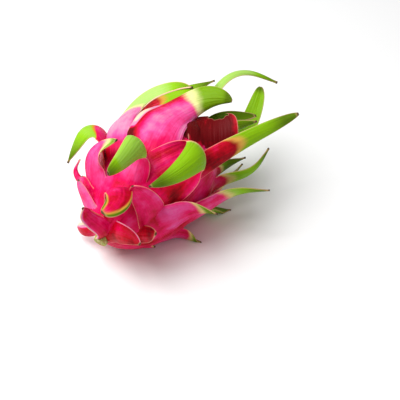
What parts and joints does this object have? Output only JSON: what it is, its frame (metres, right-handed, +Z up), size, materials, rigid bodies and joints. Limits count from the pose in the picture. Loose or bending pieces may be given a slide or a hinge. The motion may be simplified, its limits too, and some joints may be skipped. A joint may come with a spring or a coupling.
{
  "type": "dragon fruit",
  "caption": "Whole red dragon fruit with curling leathery scales, lying on its side on a small flat spot.",
  "frame": {"origin": "centre of the small flat spot that the fruit rests on, in the resting plane", "axes": "+Z up; +X from the cut stem towards the crown, the fruit's axis rising 16.2 degrees above +X; right-handed"},
  "size_m": [0.2084, 0.1423, 0.1027],
  "materials": {
    "skin": "waxy semi-gloss hot pink skin, scales fading through cream to lime green at their tips"
  },
  "bodies": {
    "root": {"dragon_fruit": "skin"}
  },
  "joints": []
}
